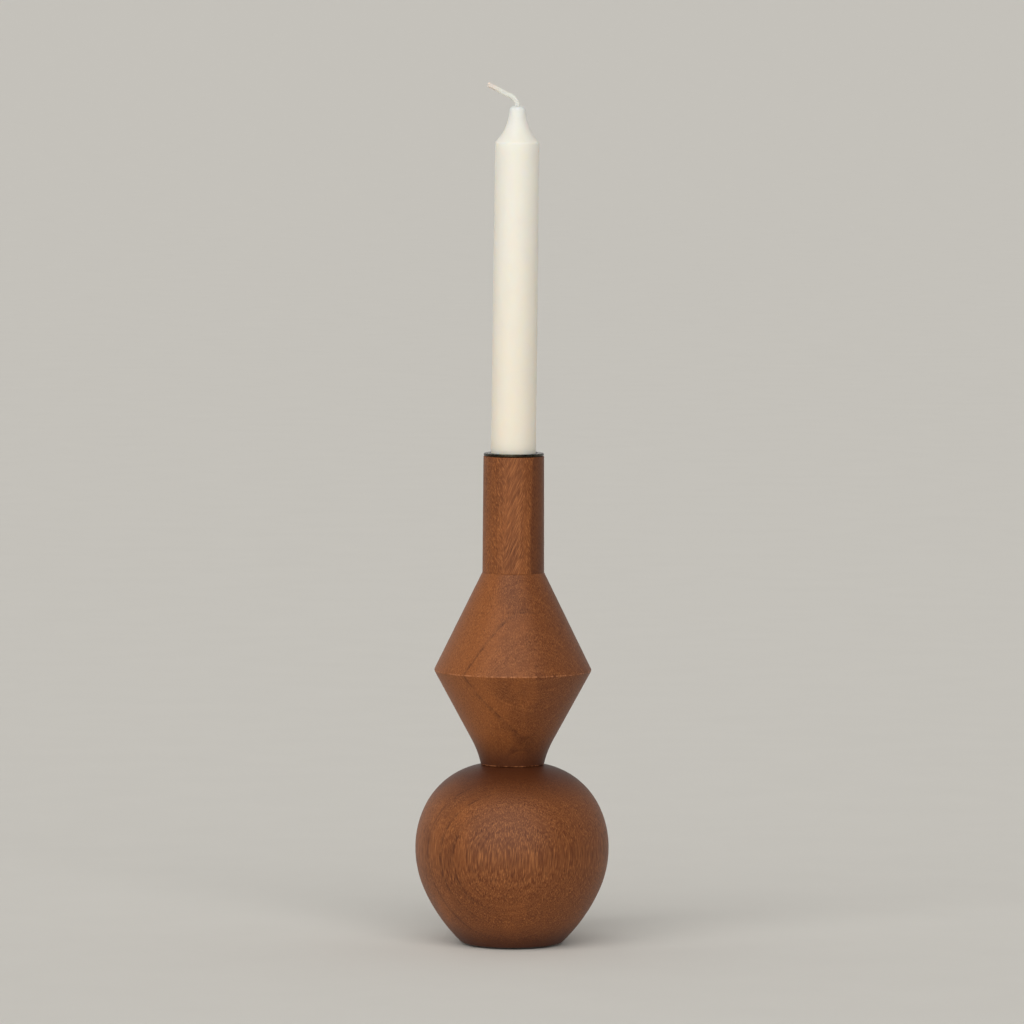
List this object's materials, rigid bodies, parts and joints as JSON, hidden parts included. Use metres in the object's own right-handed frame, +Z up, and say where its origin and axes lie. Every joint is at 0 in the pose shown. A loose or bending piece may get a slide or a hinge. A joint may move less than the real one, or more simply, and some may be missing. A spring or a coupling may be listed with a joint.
{
  "type": "wooden candlestick",
  "caption": "Turned hardwood candlestick: a ball foot, a diamond and a straight neck with a flanged metal cup that holds a dinner candle upright.",
  "frame": {"origin": "middle of the foot, on the surface that the candlestick stands on", "axes": "+Z up along the turned axis; +X to the side that the candle leans to; the wick's tip bends towards -X"},
  "size_m": [0.0952, 0.0952, 0.4234],
  "materials": {
    "stained_hardwood": "satin",
    "beech": "matte",
    "felt": "matte",
    "blackened_steel": "satin",
    "zinc_plated_steel": "satin",
    "candle_wax": "satin",
    "cotton_wick": "matte"
  },
  "bodies": {
    "stand": {"foot_felt": "felt", "base_ball": "stained_hardwood", "base_dowel": "beech", "diamond": "stained_hardwood", "neck_dowel": "beech", "neck": "stained_hardwood", "candle_cup": "blackened_steel", "cup_screw": "zinc_plated_steel"},
    "candle_and_wick": {"candle": "candle_wax", "wick": "cotton_wick"}
  },
  "joints": [
    {"name": "candle_lift", "type": "slide", "parent": "stand", "child": "candle_and_wick", "axis": [0.0079, 0, 1], "range_m": [0, 0.04]}
  ]
}
